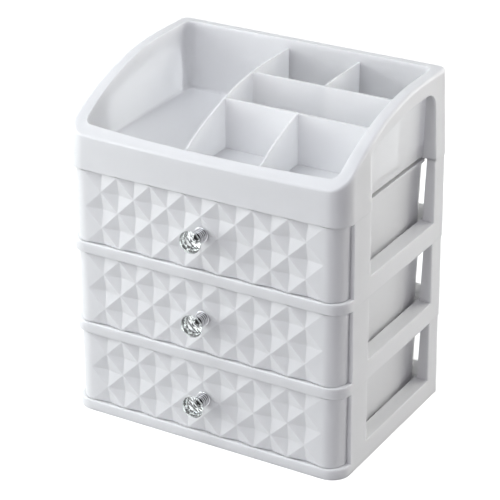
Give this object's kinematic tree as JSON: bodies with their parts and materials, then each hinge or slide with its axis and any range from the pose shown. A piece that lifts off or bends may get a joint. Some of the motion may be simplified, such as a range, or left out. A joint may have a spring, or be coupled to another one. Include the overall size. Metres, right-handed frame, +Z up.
{
  "type": "makeup organizer",
  "caption": "Stacked desk organizer: drawers with a diamond-faceted front and a crystal knob slide in open-sided bays under a divided tray.",
  "frame": {"origin": "on the ground, at the middle of the body's footprint, knobs left out", "axes": "+Z up; +X to the right seen from the front; the drawers face and open towards -Y"},
  "size_m": [0.248, 0.1941, 0.2855],
  "materials": {
    "white_plastic": "smooth satin gloss, slightly translucent",
    "plated_metal": "polished plating",
    "crystal": "cut and polished, silvered at the back",
    "screw_steel": "zinc plated"
  },
  "bodies": {
    "cabinet": {"frame_1": "white_plastic", "frame_2": "white_plastic", "frame_3": "white_plastic", "tray": "white_plastic"},
    "drawer_1_body": {"drawer_1": "white_plastic", "knob_base_1": "plated_metal", "crystal_1": "crystal", "knob_screw_1": "screw_steel", "washer_1": "screw_steel"},
    "drawer_2_body": {"drawer_2": "white_plastic", "knob_base_2": "plated_metal", "crystal_2": "crystal", "knob_screw_2": "screw_steel", "washer_2": "screw_steel"},
    "drawer_3_body": {"drawer_3": "white_plastic", "knob_base_3": "plated_metal", "crystal_3": "crystal", "knob_screw_3": "screw_steel", "washer_3": "screw_steel"}
  },
  "joints": [
    {"name": "drawer_1_slide", "type": "slide", "parent": "cabinet", "child": "drawer_1_body", "axis": [0, -1, 0], "range_m": [0, 0.12]},
    {"name": "drawer_2_slide", "type": "slide", "parent": "cabinet", "child": "drawer_2_body", "axis": [0, -1, 0], "range_m": [0, 0.12]},
    {"name": "drawer_3_slide", "type": "slide", "parent": "cabinet", "child": "drawer_3_body", "axis": [0, -1, 0], "range_m": [0, 0.12]}
  ]
}
